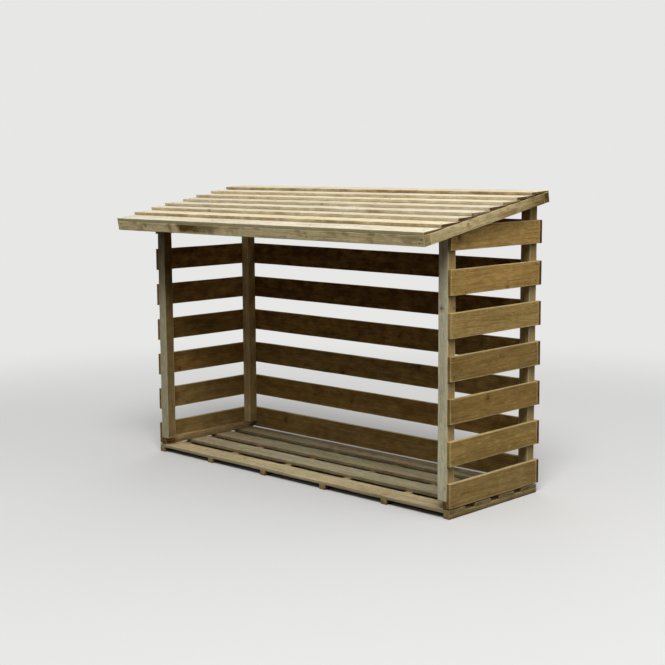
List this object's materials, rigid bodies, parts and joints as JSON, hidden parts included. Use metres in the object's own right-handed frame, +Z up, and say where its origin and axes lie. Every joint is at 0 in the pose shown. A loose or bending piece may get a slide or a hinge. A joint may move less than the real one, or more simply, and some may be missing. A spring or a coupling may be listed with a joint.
{
  "type": "log store",
  "caption": "Open-fronted timber log store with slatted ends and back, a raised slatted floor and a lean-to roof of lapped feather-edge boards.",
  "frame": {"origin": "on the ground, under the middle of the whole store with its roof", "axes": "+X along the length to the right seen from the open front, +Y from the open front to the back, +Z up"},
  "size_m": [1.838, 0.7956, 1.259],
  "materials": {
    "bearer_timber": "sawn, pressure-treated, damp",
    "floor_timber": "sawn, pressure-treated",
    "post_timber": "planed, pressure-treated, green-grey",
    "slat_timber": "sawn, pressure-treated, golden brown",
    "roof_frame_timber": "planed, pressure-treated",
    "roof_timber": "sawn feather-edge, pressure-treated, pale"
  },
  "bodies": {
    "root": {"left_bearer": "bearer_timber", "inner_bearers": "bearer_timber", "right_bearer": "bearer_timber", "floor_board_1": "floor_timber", "floor_board_2": "floor_timber", "floor_board_3": "floor_timber", "floor_board_4": "floor_timber", "left_front_post": "post_timber", "right_front_post": "post_timber", "left_back_post": "post_timber", "right_back_post": "post_timber", "left_slat_1": "slat_timber", "left_slat_2": "slat_timber", "left_slat_3": "slat_timber", "left_slat_4": "slat_timber", "left_slat_5": "slat_timber", "left_slat_6": "slat_timber", "left_slat_7": "slat_timber", "right_slat_1": "slat_timber", "right_slat_2": "slat_timber", "right_slat_3": "slat_timber", "right_slat_4": "slat_timber", "right_slat_5": "slat_timber", "right_slat_6": "slat_timber", "right_slat_7": "slat_timber", "back_slat_1": "slat_timber", "back_slat_2": "slat_timber", "back_slat_3": "slat_timber", "back_slat_4": "slat_timber", "back_slat_5": "slat_timber", "back_slat_6": "slat_timber", "back_slat_7": "slat_timber", "front_batten": "roof_frame_timber", "rear_batten": "roof_frame_timber", "left_rafter": "roof_frame_timber", "inner_rafters": "roof_frame_timber", "right_rafter": "roof_frame_timber", "roof_board_1": "roof_timber", "roof_board_2": "roof_timber", "roof_board_3": "roof_timber", "roof_board_4": "roof_timber", "roof_board_5": "roof_timber", "roof_board_6": "roof_timber", "roof_board_7": "roof_timber", "roof_board_8": "roof_timber"}
  },
  "joints": []
}
